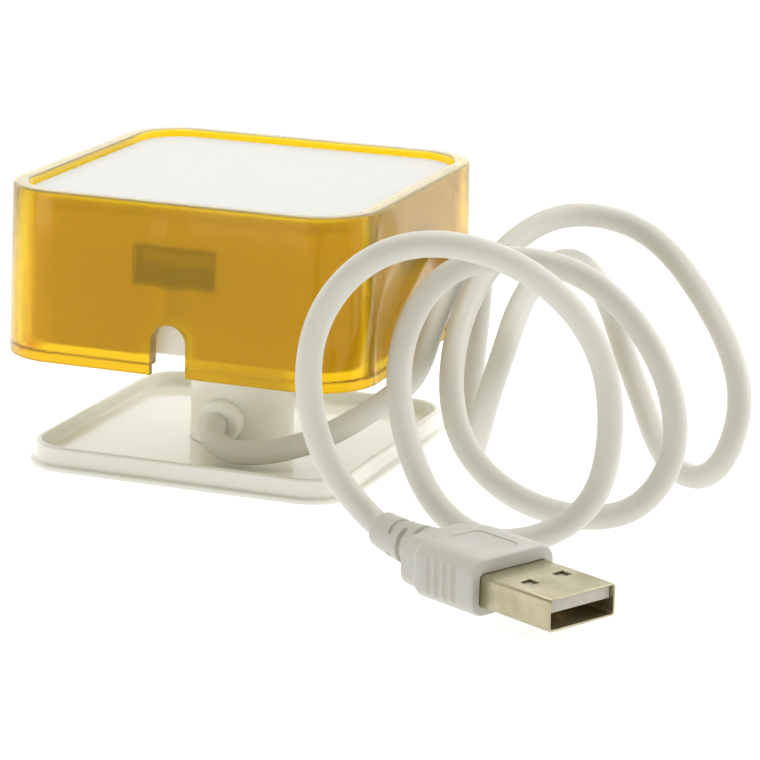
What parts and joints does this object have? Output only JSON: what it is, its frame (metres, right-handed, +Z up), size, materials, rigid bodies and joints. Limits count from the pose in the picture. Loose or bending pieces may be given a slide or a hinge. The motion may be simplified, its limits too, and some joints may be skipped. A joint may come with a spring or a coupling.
{
  "type": "usb hub",
  "caption": "Square USB hub on a short column and tray, with a translucent amber sleeve that slides down to uncover its ports, and a cord with a USB-A plug.",
  "frame": {"origin": "on the surface the hub stands on, under the middle of the column", "axes": "+Z up; -Y out of the front face, the one with the notch; +X to the right, where the cord lies"},
  "size_m": [0.1071, 0.0995, 0.0473],
  "materials": {
    "sleeve_amber": "translucent amber, glossy",
    "gloss_white": "smooth glossy white",
    "cord_pvc": "satin flexible PVC",
    "mould_pvc": "satin soft PVC",
    "nickel_steel": "nickel-plated sheet",
    "screw_steel": "zinc-plated",
    "contact_gold": "gold-flashed",
    "ivory_plastic": "moulded nylon",
    "board_green": "solder resist",
    "chip_black": "moulded epoxy and film",
    "foot_rubber": "soft grey rubber"
  },
  "bodies": {
    "stand": {"top_cover": "gloss_white", "housing": "gloss_white", "column": "gloss_white", "base_tray": "gloss_white", "cord_gland": "gloss_white", "cord": "cord_pvc", "cord_inner": "cord_pvc", "inner_lead": "cord_pvc", "plug_overmold": "mould_pvc", "plug_shell": "nickel_steel", "port_shell_front": "nickel_steel", "port_shell_right": "nickel_steel", "port_shell_rear": "nickel_steel", "port_shell_left": "nickel_steel", "crystal": "nickel_steel", "base_screw_left": "screw_steel", "base_screw_right": "screw_steel", "column_screw_front": "screw_steel", "column_screw_rear": "screw_steel", "board_screw_front_left": "screw_steel", "board_screw_front_right": "screw_steel", "board_screw_rear_left": "screw_steel", "board_screw_rear_right": "screw_steel", "plug_contact_1": "contact_gold", "plug_contact_2": "contact_gold", "plug_contact_3": "contact_gold", "plug_contact_4": "contact_gold", "plug_insulator": "ivory_plastic", "port_tongue_front": "ivory_plastic", "port_tongue_right": "ivory_plastic", "port_tongue_rear": "ivory_plastic", "port_tongue_left": "ivory_plastic", "lead_connector": "ivory_plastic", "circuit_board": "board_green", "hub_controller": "chip_black", "capacitor_front": "chip_black", "capacitor_rear": "chip_black", "rubber_foot_front_left": "foot_rubber", "rubber_foot_front_right": "foot_rubber", "rubber_foot_rear_right": "foot_rubber", "rubber_foot_rear_left": "foot_rubber"},
    "sleeve": {"sleeve": "sleeve_amber"}
  },
  "joints": [
    {"name": "sleeve_slide", "type": "slide", "parent": "stand", "child": "sleeve", "axis": [0, 0, 1], "range_m": [-0.0174, 0], "deforming": ["cord_inner"]}
  ]
}
